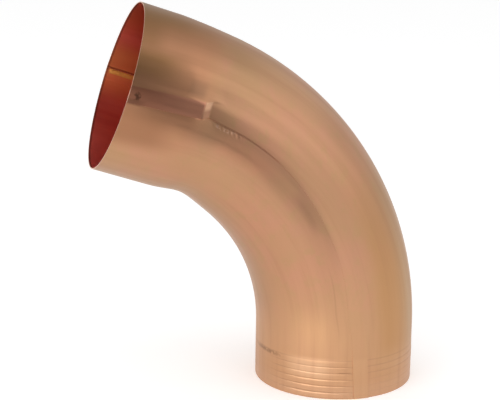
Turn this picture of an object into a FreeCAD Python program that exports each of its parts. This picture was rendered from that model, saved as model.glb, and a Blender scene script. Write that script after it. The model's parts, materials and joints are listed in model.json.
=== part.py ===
import FreeCAD, Part
import os
from math import cos, degrees, radians, sin

# Copper downspout elbow, 100 mm size, 72 degrees. Two pressed half shells, the back of the bend
# and its throat, lap over each other along both sides of the tube and are brazed into one piece.
# The elbow stands on its beaded spigot with the axis up +Z, and bends towards -X to the socket.
# Angles round a section are measured from the back of the bend (+X) towards +Y.

# driving dimensions, in millimetres and degrees
SHEET = 0.6  # copper sheet
BEND_ANGLE = 72.0
BEND_RADIUS = 150.0  # centre line of the bend
TUBE_RADIUS = 50.0  # outside of the bend
SLIP_FIT = 0.4  # play all round between the spigot and the socket of an equal elbow

BEAD_COUNT = 6  # beads rolled round the spigot
BEAD_PITCH = 4.1
BEAD_LAND = 1.4  # flat crest that touches the pipe
PLAIN_LENGTH = 10.6  # straight tube between the beads and the bend

SHOULDER_LENGTH = 4.0  # flare between the bend and the socket
SLEEVE_LENGTH = 33.3  # straight bore of the socket

LAP_WIDTH = 9.0  # overlap of the two half shells, centred on the side of the tube
JOGGLE_WIDTH = 2.0  # slope where the back shell steps out over the throat shell

# sizes that follow
CREST_RADIUS = TUBE_RADIUS + SHEET  # the beads rise as high as the lap between them
SOCKET_BORE = CREST_RADIUS + SLIP_FIT
SOCKET_RADIUS = SOCKET_BORE + SHEET
BEAD_ZONE = BEAD_COUNT * BEAD_PITCH
SPIGOT_LENGTH = BEAD_ZONE + PLAIN_LENGTH
LAP_TOP = 90 - degrees(LAP_WIDTH / 2 / TUBE_RADIUS)
LAP_EDGE = 180 - LAP_TOP
LAP_FOOT = LAP_TOP - degrees(JOGGLE_WIDTH / TUBE_RADIUS)

UP = FreeCAD.Vector(0, 0, 1)
ORIGIN = FreeCAD.Vector(0, 0, 0)
BEND_CENTRE = FreeCAD.Vector(-BEND_RADIUS, 0, SPIGOT_LENGTH)
BEND_AXIS = FreeCAD.Vector(0, -1, 0)


def polar(radius, angle, z=0.0):
    """A point of a section, by radius and angle in degrees from the back of the bend."""
    return FreeCAD.Vector(radius * cos(radians(angle)), radius * sin(radians(angle)), z)


def arc(radius, start, end, z=0.0):
    """The arc of a section from one angle to another."""
    middle = polar(radius, (start + end) / 2, z)
    return Part.Arc(polar(radius, start, z), middle, polar(radius, end, z)).toShape()


def outer_wire(radius, z):
    """Outside of a section: plain sheet with a raised lap on each side.

    The lap rises along the joggle of the back shell and ends at the cut edge of its sheet.
    """
    raised = radius + SHEET
    return Part.Wire([
        arc(radius, -LAP_FOOT, LAP_FOOT, z),
        Part.makeLine(polar(radius, LAP_FOOT, z), polar(raised, LAP_TOP, z)),
        arc(raised, LAP_TOP, LAP_EDGE, z),
        Part.makeLine(polar(raised, LAP_EDGE, z), polar(radius, LAP_EDGE, z)),
        arc(radius, LAP_EDGE, 360 - LAP_EDGE, z),
        Part.makeLine(polar(radius, -LAP_EDGE, z), polar(raised, -LAP_EDGE, z)),
        arc(raised, -LAP_EDGE, -LAP_TOP, z),
        Part.makeLine(polar(raised, -LAP_TOP, z), polar(radius, -LAP_FOOT, z)),
    ])


def inner_wire(radius, z):
    """Inside of a section, where the brazed lap is dressed flush."""
    bore = radius - SHEET
    return Part.Wire([arc(bore, -90, 90, z), arc(bore, 90, 270, z)])


def section(radius, z):
    """The sheet's whole section at a height of the straight tube."""
    return Part.makeFace([outer_wire(radius, z), inner_wire(radius, z)], "Part::FaceMakerBullseye")


def straight(radius, z, length):
    """Wall of a straight stretch of tube."""
    return section(radius, z).extrude(UP * length)


def flare(start_radius, end_radius, z, length):
    """Wall of a stretch that changes radius."""
    outside = [outer_wire(start_radius, z), outer_wire(end_radius, z + length)]
    inside = [inner_wire(start_radius, z), inner_wire(end_radius, z + length)]
    return Part.makeLoft(outside, True, True).cut(Part.makeLoft(inside, True, True))


def bead_profile():
    """Outline of the beaded wall beside the axis: flat crests with flanks that meet in sharp valleys."""
    flank = (BEAD_PITCH - BEAD_LAND) / 2
    outline = [
        FreeCAD.Vector(TUBE_RADIUS - SHEET, 0, BEAD_ZONE),
        FreeCAD.Vector(TUBE_RADIUS - SHEET, 0, 0),
        FreeCAD.Vector(TUBE_RADIUS, 0, 0),
    ]
    for bead in range(BEAD_COUNT):
        low = bead * BEAD_PITCH
        high = low + BEAD_PITCH
        outline.append(FreeCAD.Vector(CREST_RADIUS, 0, low + flank))
        outline.append(FreeCAD.Vector(CREST_RADIUS, 0, high - flank))
        outline.append(FreeCAD.Vector(TUBE_RADIUS, 0, high))
    return Part.Face(Part.makePolygon(outline + outline[:1]))


def beaded_sector(start, end):
    """Beaded wall of one half shell, between two angles."""
    wall = bead_profile()
    wall.rotate(ORIGIN, UP, start)
    return wall.revolve(ORIGIN, UP, end - start)


def lap_sector(side):
    """Lap on one side of the beaded stretch, flush with the crests of the beads."""
    bore = TUBE_RADIUS - SHEET
    foot = side * LAP_FOOT
    top = side * LAP_TOP
    edge = side * LAP_EDGE
    outline = Part.Wire([
        Part.makeLine(polar(bore, foot), polar(TUBE_RADIUS, foot)),
        Part.makeLine(polar(TUBE_RADIUS, foot), polar(CREST_RADIUS, top)),
        arc(CREST_RADIUS, top, edge),
        Part.makeLine(polar(CREST_RADIUS, edge), polar(bore, edge)),
        arc(bore, edge, foot),
    ])
    return Part.Face(outline).extrude(UP * BEAD_ZONE)


def spigot():
    """Beaded end that plugs into the pipe below, and the plain tube above it."""
    return [
        beaded_sector(-LAP_FOOT, LAP_FOOT),
        beaded_sector(LAP_EDGE, 360 - LAP_EDGE),
        lap_sector(1),
        lap_sector(-1),
        straight(TUBE_RADIUS, BEAD_ZONE, PLAIN_LENGTH),
    ]


def bend():
    """The section swung round the centre of the bend."""
    return section(TUBE_RADIUS, SPIGOT_LENGTH).revolve(BEND_CENTRE, BEND_AXIS, BEND_ANGLE)


def socket():
    """Shoulder and socket, drawn at the foot of the bend and swung round to its far end."""
    shoulder = flare(TUBE_RADIUS, SOCKET_RADIUS, SPIGOT_LENGTH, SHOULDER_LENGTH)
    sleeve = straight(SOCKET_RADIUS, SPIGOT_LENGTH + SHOULDER_LENGTH, SLEEVE_LENGTH)
    for wall in (shoulder, sleeve):
        wall.rotate(BEND_CENTRE, BEND_AXIS, BEND_ANGLE)
    return [shoulder, sleeve]


first, *others = spigot() + [bend()] + socket()
elbow = first.fuse(others).Solids[0]

os.makedirs("parts", exist_ok=True)
elbow.exportStep("parts/elbow.step")
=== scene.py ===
import json
import math
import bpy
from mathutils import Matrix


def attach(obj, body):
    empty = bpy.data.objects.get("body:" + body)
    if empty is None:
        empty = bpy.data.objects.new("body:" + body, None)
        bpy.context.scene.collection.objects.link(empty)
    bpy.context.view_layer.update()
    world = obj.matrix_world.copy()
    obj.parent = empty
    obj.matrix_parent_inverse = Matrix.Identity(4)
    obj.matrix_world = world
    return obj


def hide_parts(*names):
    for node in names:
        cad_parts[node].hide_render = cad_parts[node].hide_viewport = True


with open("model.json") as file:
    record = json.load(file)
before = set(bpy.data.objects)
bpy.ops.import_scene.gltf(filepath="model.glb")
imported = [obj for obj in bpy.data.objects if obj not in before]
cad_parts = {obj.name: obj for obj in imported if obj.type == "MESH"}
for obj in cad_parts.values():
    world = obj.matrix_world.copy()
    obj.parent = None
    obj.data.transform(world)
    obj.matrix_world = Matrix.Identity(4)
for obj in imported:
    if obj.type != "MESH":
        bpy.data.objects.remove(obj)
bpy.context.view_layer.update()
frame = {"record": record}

from types import SimpleNamespace

import bmesh
import bpy
from mathutils import Quaternion, Vector

# The throat half shell is the sheet on the inside of the bend: copper pressed to a half round, beaded at
# the spigot and swaged out at the mouth. Its side margins lie under the margins of the back shell. Places
# are lengths along the tube from the spigot's end, and angles round it from the back of the bend.
mounts = {mount["name"]: mount for mount in frame["record"]["mounts"]}
SHEET = 0.0006
TUBE = mounts["spigot"]["dims"]["r_mm"] / 1000 - SHEET
SPIGOT = mounts["spigot"]["dims"]["length_mm"] / 1000
BEND = math.acos(mounts["socket"]["axis"][2])
BEND_RADIUS = 0.150
FLARE = 0.0040  # between the bend and the straight bore of the socket
SOCKET = FLARE + mounts["socket"]["dims"]["length_mm"] / 1000


def ease(share):
    """Smooth step from 0 to 1."""
    share = min(max(share, 0.0), 1.0)
    return share * share * (3 - 2 * share)


def hump(distance, spread):
    """Bell curve, 1 at no distance."""
    return math.exp(-((distance / spread) ** 2))


def path_frame(swing):
    """Centre, outward and forward directions of the tube at an angle of its bend."""
    out = Vector((math.cos(swing), 0, math.sin(swing)))
    forward = Vector((-math.sin(swing), 0, math.cos(swing)))
    return Vector((-BEND_RADIUS, 0, SPIGOT)) + out * BEND_RADIUS, out, forward


def place_of(point):
    """Length along the tube, angle round it and distance from its centre line of a point."""
    swing = min(max(math.atan2(point.z - SPIGOT, point.x + BEND_RADIUS), 0), BEND)
    centre, out, forward = path_frame(swing)
    offset = point - centre
    along = SPIGOT + BEND_RADIUS * swing + offset.dot(forward)
    outward = offset.dot(out)
    return along, math.atan2(offset.y, outward), math.hypot(offset.y, outward)


def point_at(along, turn, radius):
    """The point at a length along the tube, an angle round it and a distance from its centre line."""
    swing = min(max((along - SPIGOT) / BEND_RADIUS, 0), BEND)
    centre, out, forward = path_frame(swing)
    straight = along - SPIGOT - BEND_RADIUS * swing
    across = Vector((0, radius * math.sin(turn), 0))
    return centre + forward * straight + out * (radius * math.cos(turn)) + across


def seam_line(along, turn):
    """How far the trimmed edge of the lap wanders from the side of the tube towards the throat."""
    along = max(along, 0.004)
    if turn > 0:
        return 0.0040 + 0.0012 * math.sin(along / 0.060)
    wave = 0.00097 + 0.00295 * math.cos((along - 0.062) / 0.0419)
    bulge = 0.0014 * hump(along - 0.055, 0.014)
    jog = 0.0011 * ease((along - 0.2135) / 0.004) - 0.0009 * hump(along - 0.2125, 0.006)
    return wave + bulge + jog


def from_seam(along, turn):
    """Distance round the tube from the trimmed edge of the nearer lap, counted towards the throat."""
    return (abs(turn) - math.pi / 2) * TUBE - seam_line(along, turn)


SWELL = 0.00157  # rise of the socket above the bend
SHOULDER = 0.2165  # place of the shoulder between them
SHOULDER_LENGTH = 0.0300
SHOULDER_LEAN = 0.0060  # it comes later at the back of the bend, and sooner at the throat
LAP_STEP = 0.0014  # it comes sooner on the lap
PINCH = 0.0013  # sheet drawn in at the throat, below the socket
PINCH_PLACE = 0.194


def formed(along, turn):
    """What the press leaves above the plain tube: the swaged socket and the drawn throat.

    The shoulder is long and soft, but crisp on the lap and beside it.
    """
    gap = from_seam(along, turn)
    on_lap = ease((gap + 0.0115) / 0.0030) * (gap < 0.00002)
    crisp = max(0.86 * on_lap, 0.40 * hump(gap + 0.020, 0.010), 0.42 * hump(gap, 0.008))
    shoulder = SHOULDER + SHOULDER_LEAN * math.cos(turn) - LAP_STEP * on_lap
    rise = SWELL * ease((along - shoulder) / (SHOULDER_LENGTH * (1 - crisp)) + 0.5)
    return rise - PINCH * hump(along - PINCH_PLACE, 0.016) * ease((abs(turn) - 1.9) / 1.2)


BEADS = 6
BEAD_PITCH = 0.0041
BEAD_ZONE = BEADS * BEAD_PITCH
BEAD_RISE = 0.00022


def beads(along, turn):
    """Broad beads with narrow grooves between them, shallower upwards and pressed a little unevenly."""
    share = along / BEAD_PITCH
    if share <= 0.06 or share >= BEADS:
        return 0.0
    number = math.floor(share)
    share -= number
    top_flank = number == BEADS - 1 and share >= 0.5
    crest = 1 - abs(2 * share - 1) ** (2 if top_flank else 5)
    uneven = 1 + 0.22 * math.sin(1.7 * turn + 2.3 * number) + 0.14 * math.sin(5.3 * turn + 1.1 * number)
    return BEAD_RISE * uneven * crest * (1.25 - 0.13 * number)


BEAD_STEPS = 120
PLAIN_STEPS = 6
BEND_STEPS = ((0.70, 44), (0.30, 90))  # share of the bend, and its steps
FINE_RUN = 0.0072  # first stretch of the socket
FINE_STEPS = 12
SLEEVE_STEPS = 20


def drawn_on(bm, ring, run, steps):
    """Pulls an open ring of edges straight on over a run, in steps, and gives back its last edges."""
    for _ in range(steps):
        drawn = bmesh.ops.extrude_edge_only(bm, edges=ring)["geom"]
        ring = [part for part in drawn if isinstance(part, bmesh.types.BMEdge)]
        moved = [part for part in drawn if isinstance(part, bmesh.types.BMVert)]
        bmesh.ops.translate(bm, vec=run / steps, verts=moved)
    return ring


def drawn_along_the_elbow(bm, ring, bead_steps):
    """Draws a section lying at the spigot's end up the spigot, round the bend and up the socket.

    The steps are finest at the beads, and from the last third of the bend to the shoulder.
    """
    up = Vector((0, 0, 1))
    ring = drawn_on(bm, ring, up * BEAD_ZONE, bead_steps)
    ring = drawn_on(bm, ring, up * (SPIGOT - BEAD_ZONE), PLAIN_STEPS)
    for share, steps in BEND_STEPS:
        bent = bmesh.ops.spin(
            bm,
            geom=ring,
            cent=(-BEND_RADIUS, 0, SPIGOT),
            axis=(0, -1, 0),
            angle=BEND * share,
            steps=steps,
        )
        ring = [part for part in bent["geom_last"] if isinstance(part, bmesh.types.BMEdge)]
    forward = path_frame(BEND)[2]
    ring = drawn_on(bm, ring, forward * FINE_RUN, FINE_STEPS)
    drawn_on(bm, ring, forward * (SOCKET - FINE_RUN), SLEEVE_STEPS)


def half_tube(start, sweeps):
    """A plain half tube: one corner swept round to a half ring, by angles and steps, and drawn along."""
    bm = bmesh.new()
    corner = [bm.verts.new(Vector((TUBE, 0, 0)))]
    bmesh.ops.rotate(bm, cent=(0, 0, 0), matrix=Quaternion((0, 0, 1), start).to_matrix(), verts=corner)
    for angle, steps in sweeps:
        swept = bmesh.ops.spin(bm, geom=corner, cent=(0, 0, 0), axis=(0, 0, 1), angle=angle, steps=steps)
        corner = [part for part in swept["geom_last"] if isinstance(part, bmesh.types.BMVert)]
    drawn_along_the_elbow(bm, bm.edges[:], BEAD_STEPS)
    return bm


def press(bm, relief, middle):
    """Moves a plain half tube on to its pressed form, and marks the sheet with its own lengths."""
    sheet = bm.loops.layers.uv.new("sheet")
    seam = bm.verts.layers.float.new("seam")
    flat = bm.verts.layers.float_vector.new("flat")
    for vert in bm.verts:
        along, turn, _ = place_of(vert.co)
        off_side = ease((abs(abs(turn) - math.pi / 2) - 0.35) / 1.1)
        wander = seam_line(along, turn) / TUBE * (1 - off_side)
        turn += wander if turn > 0 else -wander
        vert[seam] = from_seam(along, turn)
        vert[flat] = (along, ((turn - middle + math.pi) % math.tau - math.pi) * TUBE, 0)
        vert.co = point_at(along, turn, TUBE + relief(along, turn))
    bmesh.ops.recalc_face_normals(bm, faces=bm.faces)
    for face in bm.faces:
        face.smooth = True
        for loop in face.loops:
            loop[sheet].uv = loop.vert[flat][:2]


CRIMP = 0.00022  # ripples pressed beside the near lap, below the shoulder
CRIMP_PLACE = 0.199
CRIMP_SPACING = 0.0028
RUN_OUT = 0.00058  # throat sheet sprung up to the edge of the lap along the bend
SINK = 0.00004  # tucked margin lies this much below the rest


def throat_relief(along, turn):
    """Height of the throat shell above the plain tube. Its beads are worn down at the throat itself."""
    gap = from_seam(along, turn)
    under = gap < -0.00005
    crimp = hump(along - CRIMP_PLACE, 0.009) * hump(gap - 0.0020, 0.0010) * (turn < 0)
    crimp *= 0.70 + 0.30 * math.sin(along / 0.0019)
    wave = (along + 0.9 * gap) * math.tau / CRIMP_SPACING + 1.1 * math.sin(along / 0.0023)
    run_out = RUN_OUT * hump(max(gap, 0), 0.0060) * ease((0.185 - along) / 0.090) * (not under)
    run_out *= 1 - 0.55 * ease((0.034 - along) / 0.012)
    clear = ease(gap / 0.0050) * (1 - 0.65 * ease((gap - 0.042) / 0.018))
    pressed = formed(along, turn) + beads(along, turn) * clear + CRIMP * crimp * math.sin(wave)
    return pressed + run_out - SINK * under


def as_object(name, bm, *finishes):
    """A finished bmesh as an object with its materials."""
    mesh = bpy.data.meshes.new(name)
    bm.to_mesh(mesh)
    bm.free()
    for finish in finishes:
        mesh.materials.append(finish)
    made = bpy.data.objects.new(name, mesh)
    bpy.context.scene.collection.objects.link(made)
    return made


def sheet_piece(name, bm, *finishes):
    """A pressed sheet: its thickness goes inwards, and its cut edges are a little rounded."""
    piece = as_object(name, bm, *finishes)
    wall = piece.modifiers.new("sheet", "SOLIDIFY")
    wall.thickness = SHEET
    wall.offset = -1
    wall.material_offset = 1
    wall.material_offset_rim = 2
    edges = piece.modifiers.new("deburred edges", "BEVEL")
    edges.width = 0.00012
    edges.segments = 2
    edges.limit_method = "ANGLE"
    edges.angle_limit = math.radians(50)
    edges.harden_normals = True
    return piece


def node(tree, kind, **sockets):
    """A node with each named socket set to a value or linked to an output; _1 is socket number 1."""
    made = tree.nodes.new(kind)
    for name, value in sockets.items():
        number = name[1:]
        socket = made.inputs[int(number) if number.isdigit() else name.replace("_", " ")]
        if isinstance(value, bpy.types.NodeSocket):
            tree.links.new(value, socket)
        else:
            socket.default_value = value
    return made


def joined(output, socket):
    """Links an output to a socket of the same finish."""
    output.id_data.links.new(output, socket)


def calculated(operation, first, second):
    """Two values put together by a kind of sum."""
    made = node(first.id_data, "ShaderNodeMath", _0=first, _1=second)
    made.operation = operation
    return made.outputs[0]


def times(first, *others):
    """Values multiplied together, the first of them an output."""
    for other in others:
        first = calculated("MULTIPLY", first, other)
    return first


def ranged(value, start, end, low, high):
    """A value turned evenly into another, which is low at the start and high at the end."""
    made = node(value.id_data, "ShaderNodeMapRange", Value=value, From_Min=start, From_Max=end)
    made.inputs["To Min"].default_value = low
    made.inputs["To Max"].default_value = high
    return made.outputs["Result"]


def between(value, start, end):
    """0 where a value is at the start, 1 where it is at the end, smooth between."""
    made = node(value.id_data, "ShaderNodeMapRange", Value=value, From_Min=start, From_Max=end)
    made.interpolation_type = "SMOOTHSTEP"
    return made.outputs["Result"]


def within(value, low, high, soft):
    """1 where a value lies between two others, with soft ends."""
    return times(between(value, low - soft, low + soft), between(value, high + soft, high - soft))


def tinted(share, first, second):
    """The first colour, going over to the second by a share."""
    tree = share.id_data
    made = tree.nodes.new("ShaderNodeMix")
    made.data_type = "RGBA"
    tree.links.new(share, made.inputs[0])
    for number, colour in ((6, first), (7, second)):
        if isinstance(colour, bpy.types.NodeSocket):
            tree.links.new(colour, made.inputs[number])
        else:
            made.inputs[number].default_value = (*colour, 1)
    return made.outputs[2]


def stained(colour, tint, strength, *shares):
    """A colour with a stain of some strength over it, where all its shares meet."""
    return tinted(times(*shares, strength), colour, tint)


def mottle(coordinates, scale, detail, rough):
    """Cloudy unevenness; the scale has one number for each direction, per metre."""
    tree = coordinates.id_data
    mapped = node(tree, "ShaderNodeMapping", Vector=coordinates, Scale=scale).outputs["Vector"]
    noise = node(tree, "ShaderNodeTexNoise", Vector=mapped, Scale=1.0, Detail=detail, Roughness=rough)
    return noise.outputs[0]


def spot(place, point, outer, inner):
    """1 near a point of the piece, fading to 0 at the outer distance."""
    apart = node(place.id_data, "ShaderNodeVectorMath", _0=place, _1=point)
    apart.operation = "DISTANCE"
    return between(apart.outputs["Value"], outer, inner)


def copper(name, roughness):
    """A bare copper finish, with the sheet's own lengths to lay its marks out by."""
    material = bpy.data.materials.new(name)
    material.use_nodes = True
    tree = material.node_tree
    shader = tree.nodes["Principled BSDF"]
    shader.inputs["Metallic"].default_value = 1.0
    shader.inputs["Roughness"].default_value = roughness
    flat = node(tree, "ShaderNodeUVMap")
    flat.uv_map = "sheet"
    lengths = node(tree, "ShaderNodeSeparateXYZ", Vector=flat.outputs["UV"])
    seam = node(tree, "ShaderNodeAttribute")
    seam.attribute_name = "seam"
    return SimpleNamespace(
        material=material,
        shader=shader.inputs,
        flat=flat.outputs["UV"],
        along=lengths.outputs["X"],
        across=lengths.outputs["Y"],
        seam=seam.outputs["Fac"],
        place=node(tree, "ShaderNodeTexCoord").outputs["Object"],
    )


def tarnished(finish):
    """Colour of the bare sheet, dulled in clouds and by zones of the elbow. The darker lower bend is
    painted shade, the paler back of the upper bend is painted light, and a bright patch on the near beads
    is a painted highlight.
    """
    along, seam, place = finish.along, finish.seam, finish.place
    cloud = between(mottle(place, (24, 24, 24), 3.0, 0.55), 0.38, 0.66)
    colour = tinted(cloud, (0.494, 0.270, 0.150), (0.522, 0.264, 0.158))
    drift = between(mottle(place, (11, 13, 9), 2.0, 0.5), 0.48, 0.70)
    colour = tinted(drift, colour, (0.470, 0.276, 0.146))
    patch = between(mottle(place, (130, 130, 90), 3.0, 0.65), 0.50, 0.66)
    colour = stained(colour, (0.470, 0.274, 0.142), 0.6, patch)
    blush = between(mottle(place, (70, 55, 45), 3.0, 0.6), 0.52, 0.68)
    colour = stained(colour, (0.520, 0.262, 0.163), 0.6, blush)
    bright_foot = between(along, 0.105, 0.020)
    colour = stained(colour, (0.562, 0.314, 0.169), 0.8, bright_foot)
    # painted shade: a darker, more olive colour on the lower bend towards the back
    painted_shade_lower_bend = times(between(along, 0.018, 0.034), between(along, 0.150, 0.070))
    colour = stained(colour, (0.476, 0.252, 0.110), 0.75, painted_shade_lower_bend, between(seam, -0.012, -0.028))
    outer_bend = times(between(seam, -0.034, -0.052), within(along, 0.030, 0.120, 0.020))
    colour = stained(colour, (0.400, 0.262, 0.135), 0.45, outer_bend)
    golden = times(within(along, 0.034, 0.056, 0.012), within(seam, 0.012, 0.032, 0.010))
    colour = stained(colour, (0.655, 0.375, 0.190), 0.5, golden)
    inner_bend = times(between(seam, 0.040, 0.062), between(along, 0.035, 0.070))
    colour = stained(colour, (0.350, 0.205, 0.108), 0.4, inner_bend)
    # painted light: a paler colour on the back of the upper bend
    painted_light_on_back = times(within(along, 0.155, 0.198, 0.015), within(seam, -0.054, -0.036, 0.008))
    colour = stained(colour, (0.610, 0.350, 0.198), 0.6, painted_light_on_back)
    rubbed = between(along, 0.014, 0.002)
    colour = stained(colour, (0.610, 0.372, 0.235), 0.5, rubbed)
    # painted highlight: a bright pale patch on the near beads
    painted_bead_highlight = times(within(along, 0.013, 0.024, 0.004), within(seam, 0.014, 0.040, 0.008), finish.near)
    return stained(colour, (0.740, 0.470, 0.290), 0.5, painted_bead_highlight)


def torch_browned(finish, colour):
    """The socket and its shoulder, browned by the torch; darker below the laps by the mouth, with painted
    shade above the near lap and on the near shoulder.
    """
    along, seam, near = finish.along, finish.seam, finish.near
    smoky = times(between(along, 0.207, 0.226), between(seam, 0.034, 0.004))
    colour = stained(colour, (0.500, 0.243, 0.132), 0.85, smoky)
    # darker below the laps towards the mouth
    below_lap = times(within(seam, 0.001, 0.024, 0.006), between(along, 0.220, 0.244))
    colour = stained(colour, (0.300, 0.140, 0.072), 0.7, below_lap)
    back = times(between(along, 0.180, 0.250), between(seam, -0.038, -0.062))
    colour = stained(colour, (0.262, 0.134, 0.046), 0.92, back)
    rim = times(between(along, 0.243, 0.257), between(seam, -0.026, -0.038))
    colour = stained(colour, (0.262, 0.140, 0.056), 0.5, rim)
    # painted shade: a darker patch on the near shoulder, just above the lap
    shoulder = times(within(along, 0.2190, 0.2280, 0.0020), within(seam, -0.020, -0.011, 0.003), near)
    colour = stained(colour, (0.300, 0.168, 0.100), 0.45, shoulder)
    # painted shade: darker above the near lap towards the mouth
    shade_above_lap = times(between(along, 0.225, 0.250), within(seam, -0.031, -0.017, 0.005), near)
    return stained(colour, (0.262, 0.140, 0.056), 0.75, shade_above_lap)


def lap_coloured(finish, colour):
    """Dirt and painted shade between the beads, and the laps: bright at the spigot, heat-reddened where
    they were brazed and more so on the near side as painted shade, with a painted highlight and shade on
    the near step and painted shade along the seam in the bend.
    """
    along, seam, near = finish.along, finish.seam, finish.near
    lap = within(seam, -0.0096, 0.0, 0.0006)
    groove = calculated("PINGPONG", along, BEAD_PITCH / 2)
    # dirt and painted shade in the grooves between the beads
    groove_dirt_and_shade = times(between(groove, 0.0006, 0.0001), within(along, 0.0030, 0.0252, 0.0003))
    lower_back = times(between(seam, -0.004, -0.010), between(along, 0.0160, 0.0130))
    wiped = times(ranged(lap, 0, 1, 1, 0), between(seam, 0.062, 0.044), ranged(lower_back, 0, 1, 1, 0.3))
    colour = stained(colour, (0.20, 0.105, 0.060), 0.15, groove_dirt_and_shade, wiped)
    bright_end = times(lap, between(along, 0.0270, 0.0240))
    colour = stained(colour, (0.600, 0.348, 0.190), 0.35, bright_end)
    # heat tint of the brazed laps, laid on more strongly on the near side, where it is partly painted
    # shade
    heat = tinted(between(along, 0.222, 0.258), (0.60, 0.262, 0.176), (0.335, 0.120, 0.078))
    brazed = times(lap, between(along, 0.2172, 0.2180), ranged(near, 0, 1, 0.20, 0.65))
    colour = tinted(brazed, colour, heat)
    # painted highlight and shade on the near lap's step at the shoulder: light above, dark below
    painted_step_highlight = times(between(seam, -0.0035, -0.0065), between(along, 0.2180, 0.2170))
    step_highlight_and_shade = tinted(painted_step_highlight, (0.290, 0.148, 0.095), (0.620, 0.370, 0.235))
    colour = stained(colour, step_highlight_and_shade, 0.7, lap, within(along, 0.2138, 0.2177, 0.0004), near)
    drawn = times(lap, within(along, 0.2085, 0.2130, 0.0035), between(seam, -0.0090, -0.0045), near)
    colour = stained(colour, (0.610, 0.280, 0.180), 0.35, drawn)
    rosy = times(within(seam, 0.0050, 0.0160, 0.0035), within(along, 0.165, 0.204, 0.010), near)
    colour = stained(colour, (0.610, 0.292, 0.168), 0.5, rosy)
    flux = times(within(seam, -0.0004, 0.0008, 0.0004), within(along, 0.168, 0.2135, 0.014))
    colour = stained(colour, (0.22, 0.105, 0.070), 0.5, flux)
    # painted shade: a soft dark band along the seam in the bend
    shade_along_seam = times(within(seam, -0.0010, 0.0030, 0.0030), within(along, 0.100, 0.175, 0.025))
    return stained(colour, (0.22, 0.120, 0.075), 0.36, shade_along_seam)


def handled(finish, colour):
    """Stains, scratches, a scorch, a nick and soot from making and handling; a darker corner at the near
    lap's edge by the rim; and painted glints on the crimp ripples beside the near lap.
    """
    along, seam, place, near = finish.along, finish.seam, finish.place, finish.near
    stain = times(within(seam, 0.0030, 0.0080, 0.0025), within(along, 0.116, 0.140, 0.008), near)
    colour = stained(colour, (0.25, 0.130, 0.080), 0.4, stain)
    scratch = times(within(seam, 0.0066, 0.0074, 0.0005), within(along, 0.045, 0.085, 0.012), near)
    colour = stained(colour, (0.30, 0.160, 0.090), 0.25, scratch)
    smear = times(within(seam, 0.0050, 0.0068, 0.0016), within(along, 0.2200, 0.2290, 0.0030), near)
    colour = stained(colour, (0.22, 0.110, 0.070), 0.18, smear)
    noise = node(place.id_data, "ShaderNodeTexNoise", Vector=place, Scale=420.0, Detail=2.0)
    shift = (0.0052, 0.0052, 0.0052)
    ragged = node(place.id_data, "ShaderNodeVectorMath", _0=noise.outputs["Color"], _1=shift, _2=place)
    ragged.operation = "MULTIPLY_ADD"
    scorch = spot(ragged.outputs["Vector"], (-0.1311, -0.0487, 0.1926), 0.0027, 0.0010)
    colour = stained(colour, (0.07, 0.035, 0.022), 0.75, scorch)
    # darker where the near lap's edge meets the rim
    rim_corner = times(within(seam, -0.0026, 0.0004, 0.0010), between(along, 0.2490, 0.2560), near)
    colour = stained(colour, (0.14, 0.070, 0.040), 0.5, rim_corner)
    speckle = mottle(place, (520, 520, 520), 1.0, 0.5)
    # painted glints: pale flecks on the crimp ripples beside the near lap
    glints_beside_lap = times(within(seam, 0.0012, 0.0028, 0.0006), within(along, 0.1940, 0.2085, 0.0030), near)
    colour = stained(colour, (0.700, 0.430, 0.310), 0.7, between(speckle, 0.50, 0.60), glints_beside_lap)
    nick = times(within(along, 0.0167, 0.0173, 0.0003), within(seam, 0.0012, 0.0088, 0.0012))
    colour = stained(colour, (0.16, 0.080, 0.045), 0.35, nick)
    top_groove = times(within(along, 0.0220, 0.0244, 0.0010), within(finish.across, 0.002, 0.026, 0.009))
    soot = times(top_groove, between(seam, 0.010, 0.020), between(speckle, 0.30, 0.52))
    return stained(colour, (0.16, 0.080, 0.045), 0.55, soot)


def satin_copper():
    """Outside of the sheets: handled and left to dull, heat-tinted where the laps were brazed, with
    painted light and shade in places.
    """
    finish = copper("satin copper", 0.36)
    tree = finish.material.node_tree
    side = node(tree, "ShaderNodeSeparateXYZ", Vector=finish.place).outputs["Y"]
    finish.near = between(side, 0.010, -0.010)
    streak = mottle(finish.flat, (7, 150, 1), 5.0, 0.55)
    colour = torch_browned(finish, tarnished(finish))
    colour = stained(colour, (0.40, 0.205, 0.115), 0.27, between(streak, 0.45, 0.75))
    colour = handled(finish, lap_coloured(finish, colour))
    joined(colour, finish.shader["Base Color"])
    joined(ranged(streak, 0.3, 0.7, 0.36, 0.47), finish.shader["Roughness"])
    grain = mottle(finish.flat, (60, 1600, 1), 3.0, 0.6)
    brushed = node(tree, "ShaderNodeBump", Strength=0.06, Distance=0.0004, Height=grain)
    joined(brushed.outputs["Normal"], finish.shader["Normal"])
    return finish.material


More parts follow.
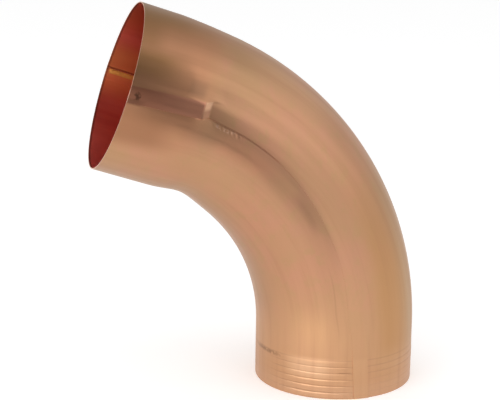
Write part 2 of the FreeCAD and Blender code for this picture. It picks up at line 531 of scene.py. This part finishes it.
def inner_copper():
    """Inside of the sheets: never handled, reddened by the torch, more orange beside the seams, with a
    painted shadow line at the step of each margin and painted shade just inside the rim.
    """
    finish = copper("inner copper", 0.38)
    along, seam = finish.along, finish.seam
    streak = between(mottle(finish.flat, (14, 130, 1), 4.0, 0.6), 0.35, 0.7)
    colour = tinted(streak, (0.80, 0.175, 0.128), (0.72, 0.140, 0.102))
    back = between(seam, -0.022, -0.048)
    colour = tinted(back, colour, (0.620, 0.155, 0.072))
    throat = between(seam, 0.020, 0.055)
    colour = stained(colour, (0.980, 0.270, 0.230), 0.7, throat)
    flame = tinted(between(seam, -0.006, 0.0), (0.64, 0.208, 0.062), (0.64, 0.160, 0.050))
    colour = stained(colour, flame, 0.8, within(seam, -0.024, 0.009, 0.008))
    # painted shadow: a dark line inside, at the step where the throat shell's margin ends
    step_shadow_line = within(seam, -0.0082, -0.0072, 0.0003)
    colour = stained(colour, (0.16, 0.035, 0.018), 0.7, step_shadow_line)
    # painted shade: darker just inside the rim
    rim = between(along, 0.2592, 0.2602)
    colour = stained(colour, (0.15, 0.050, 0.030), 0.6, rim)
    joined(colour, finish.shader["Base Color"])
    return finish.material


def sheared_edge():
    """Cut edges of the sheets: freshly sheared, brighter than the faces."""
    finish = copper("sheared edge", 0.30)
    burr = mottle(finish.place, (900, 900, 900), 2.0, 0.5)
    joined(tinted(burr, (0.80, 0.46, 0.30), (0.66, 0.37, 0.23)), finish.shader["Base Color"])
    return finish.material


TUCK = 0.0070  # margin under the back shell
LIP = 0.0001  # narrow step at the foot of that margin
MARGIN = 0.28  # angle of the finer mesh beside each seam

sheet_finishes = (satin_copper(), inner_copper(), sheared_edge())
tuck_angle = TUCK / TUBE
lip_angle = LIP / TUBE
tucked_sweeps = ((tuck_angle - lip_angle, 10), (lip_angle, 1), (MARGIN, 26))
middle_sweep = (math.pi - 2 * MARGIN, 76)
throat = half_tube(math.pi / 2 - tuck_angle, (*tucked_sweeps, middle_sweep, *reversed(tucked_sweeps)))
press(throat, throat_relief, math.pi)
throat_shell = sheet_piece("throat_shell", throat, *sheet_finishes)
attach(throat_shell, "root")
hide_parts("elbow")

# The back half shell is the sheet on the outside of the bend. Its side margins are joggled out by one
# thickness, lie over the throat shell and end in a sheared edge; the beads stop short of them.
LAP = 0.0090
JOGGLE = 0.0030
BEAD_OFFSET = 0.0004  # its beads sit this much higher than those of the throat shell


def back_relief(along, turn):
    """Height of the back shell above the plain tube: softly joggled, with its lower beads worn."""
    gap = -from_seam(along, turn)
    slack = 0.0050 * ease((along - 0.030) / 0.040) * (1 - 0.3 * ease((along - 0.205) / 0.020))
    lap = SHEET * (1 - ease((gap - LAP + slack * 0.5) / (JOGGLE + slack)))
    clear = ease((gap - LAP - JOGGLE) / 0.0060) * (0.5 + 0.5 * ease((along - 0.009) / 0.008))
    return formed(along, turn) + lap + beads(along - BEAD_OFFSET, turn) * clear


margin_sweep = (MARGIN, 28)
back = half_tube(-math.pi / 2, (margin_sweep, middle_sweep, margin_sweep))
press(back, back_relief, 0.0)
back_shell = sheet_piece("back_shell", back, *sheet_finishes)
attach(back_shell, "root")
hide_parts("elbow")

# The braze is the yellow filler that ran through the two laps and froze inside as a thin flat bead along
# the edge of each throat margin. It thins out and stops just short of the rim.
BRAZE_WIDTH = 0.0031
BRAZE_RISE = 0.00016
BRAZE_STEPS = 12
BRAZE_TAPER = 0.2580  # place where it starts to thin out
BRAZE_TAPER_LENGTH = 0.0020
BRAZE_END = 0.2575  # the mesh beyond this place is drawn back
BRAZE_SHORT = 0.0004


def brazing_alloy():
    """Frozen filler: yellow, lumpy and dull."""
    finish = copper("brazing alloy", 0.40)
    lumps = mottle(finish.place, (160, 160, 160), 4.0, 0.6)
    colour = tinted(between(lumps, 0.35, 0.65), (0.76, 0.38, 0.085), (0.64, 0.27, 0.070))
    joined(colour, finish.shader["Base Color"])
    lumpy = node(lumps.id_data, "ShaderNodeBump", Strength=0.3, Distance=0.0003, Height=lumps)
    joined(lumpy.outputs["Normal"], finish.shader["Normal"])
    return finish.material


filler = brazing_alloy()
for side, name in ((-1, "near_braze"), (1, "far_braze")):
    bead = bmesh.new()
    drop = bmesh.ops.create_circle(bead, cap_ends=False, segments=10, radius=0.5)["verts"]
    bmesh.ops.scale(bead, vec=(BRAZE_RISE * 2, BRAZE_WIDTH, 1), verts=drop)
    bmesh.ops.translate(bead, vec=(TUBE - SHEET, 0, 0), verts=drop)
    lead = (TUCK - BRAZE_WIDTH / 2) / TUBE
    swing = Quaternion((0, 0, 1), side * (math.pi / 2 - lead)).to_matrix()
    bmesh.ops.rotate(bead, cent=(0, 0, 0), matrix=swing, verts=drop)
    drawn_along_the_elbow(bead, bead.edges[:], BRAZE_STEPS)
    bmesh.ops.holes_fill(bead, edges=[edge for edge in bead.edges if edge.is_boundary], sides=0)
    bmesh.ops.recalc_face_normals(bead, faces=bead.faces)
    for vert in bead.verts:
        along, turn, radius = place_of(vert.co)
        wander = seam_line(along, turn) / TUBE
        turn += wander if turn > 0 else -wander
        sunk = (radius - TUBE + SHEET) * ease((along - BRAZE_TAPER) / BRAZE_TAPER_LENGTH)
        short = BRAZE_SHORT * (along > BRAZE_END)
        vert.co = point_at(along - short, turn, radius - sunk + formed(along, turn))
    for face in bead.faces:
        face.smooth = True
    braze = as_object(name, bead, filler)
    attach(braze, "root")
    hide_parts("elbow")

# The floor is a plain pale sheet that the elbow stands on, spigot down. It glows a little where it is seen
# or mirrored, so that it comes out white there and still takes the shadow.
FLOOR_SIZE = 8
FLOOR_GLOW = 0.24

pale_floor = bpy.data.materials.new("pale floor")
pale_floor.use_nodes = True
floor_tree = pale_floor.node_tree
floor_shader = floor_tree.nodes["Principled BSDF"].inputs
floor_shader["Base Color"].default_value = (0.95, 0.95, 0.95, 1)
floor_shader["Roughness"].default_value = 0.9
floor_shader["Specular IOR Level"].default_value = 0
floor_shader["Emission Color"].default_value = (1, 1, 1, 1)
ray = node(floor_tree, "ShaderNodeLightPath").outputs
seen = calculated("ADD", ray["Is Camera Ray"], ray["Is Glossy Ray"])
seen = calculated("ADD", seen, ray["Is Transmission Ray"])
joined(times(seen, FLOOR_GLOW), floor_shader["Emission Strength"])

floor_sheet = bmesh.new()
bmesh.ops.create_grid(floor_sheet, x_segments=1, y_segments=1, size=FLOOR_SIZE)
floor = as_object("floor", floor_sheet, pale_floor)

# Soft studio light: pale surroundings with a dimmer ceiling, a soft box low on the left, and a larger,
# weaker one high on the right. A dark card beside the elbow is what the near side of the metal mirrors.
ELBOW_MIDDLE = -0.05
CARD_WIDTH = 0.334
CARD_HEIGHT = 0.485
CARD_PLACE = Vector((-0.2035, -0.180, 0.283))
CARD_FOOT_LEFT = -0.056  # the card narrows towards its foot
CARD_FOOT_RIGHT = -0.036

world = bpy.data.worlds.new("studio")
bpy.context.scene.world = world
world.use_nodes = True
surroundings = world.node_tree.nodes["Background"].inputs
direction = node(world.node_tree, "ShaderNodeTexCoord").outputs["Generated"]
height = node(world.node_tree, "ShaderNodeSeparateXYZ", Vector=direction).outputs["Z"]
joined(ranged(height, 0.55, 0.98, 0.86, 0.64), surroundings["Strength"])
surroundings["Color"].default_value = (1, 1, 1, 1)


def soft_box(name, bearing, distance, height, width, tall, power):
    """An upright soft box at a bearing round the elbow, in degrees, facing it."""
    lamp = bpy.data.lights.new(name, "AREA")
    lamp.shape = "RECTANGLE"
    lamp.size = width
    lamp.size_y = tall
    lamp.energy = power
    box = bpy.data.objects.new(name, lamp)
    bpy.context.scene.collection.objects.link(box)
    turn = math.radians(bearing)
    box.location = Vector((ELBOW_MIDDLE + distance * math.cos(turn), distance * math.sin(turn), height))
    box.rotation_euler = (math.pi / 2, 0, turn + math.pi / 2)


soft_box("left soft box", bearing=-129, distance=1.3, height=0.42, width=1.74, tall=0.84, power=11.5)
soft_box("right soft box", bearing=-42.5, distance=1.3, height=1.475, width=1.77, tall=2.15, power=6.2)

black_card = bpy.data.materials.new("black card")
black_card.use_nodes = True
card_shader = black_card.node_tree.nodes["Principled BSDF"].inputs
card_shader["Base Color"].default_value = (0.04, 0.04, 0.04, 1)
card_shader["Roughness"].default_value = 0.9

card_sheet = bmesh.new()
upright = Quaternion((1, 0, 0), math.pi / 2).to_matrix()
bmesh.ops.create_grid(card_sheet, x_segments=1, y_segments=1, size=0.5)
bmesh.ops.scale(card_sheet, vec=(CARD_WIDTH, CARD_HEIGHT, 1), verts=card_sheet.verts)
bmesh.ops.rotate(card_sheet, cent=(0, 0, 0), matrix=upright, verts=card_sheet.verts)
bmesh.ops.translate(card_sheet, vec=CARD_PLACE, verts=card_sheet.verts)
for vert in card_sheet.verts:
    if vert.co.z < CARD_PLACE.z:
        vert.co.x = CARD_FOOT_LEFT if vert.co.x < CARD_PLACE.x else CARD_FOOT_RIGHT
card = as_object("dark_card", card_sheet, black_card)
card.visible_camera = False
card.visible_diffuse = False

# The camera looks from a little to the left and above, with a long lens, and is turned by under a degree
# about its own axis.
AIM = Vector((-0.05630, 0, 0.11605))
AZIMUTH = -0.232398
ELEVATION = 0.230993
DISTANCE = 0.81759
ROLL = 0.012712

away = Vector((
    math.sin(AZIMUTH) * math.cos(ELEVATION),
    -math.cos(AZIMUTH) * math.cos(ELEVATION),
    math.sin(ELEVATION),
))
camera = bpy.data.objects.new("camera", bpy.data.cameras.new("camera"))
bpy.context.scene.collection.objects.link(camera)
camera.data.sensor_width = 36
camera.data.lens = 95.0
camera.location = AIM + away * DISTANCE
camera.rotation_euler = (away.to_track_quat("Z", "Y") @ Quaternion((0, 0, 1), ROLL)).to_euler()
bpy.context.scene.camera = camera
bpy.context.scene.view_settings.view_transform = "Standard"
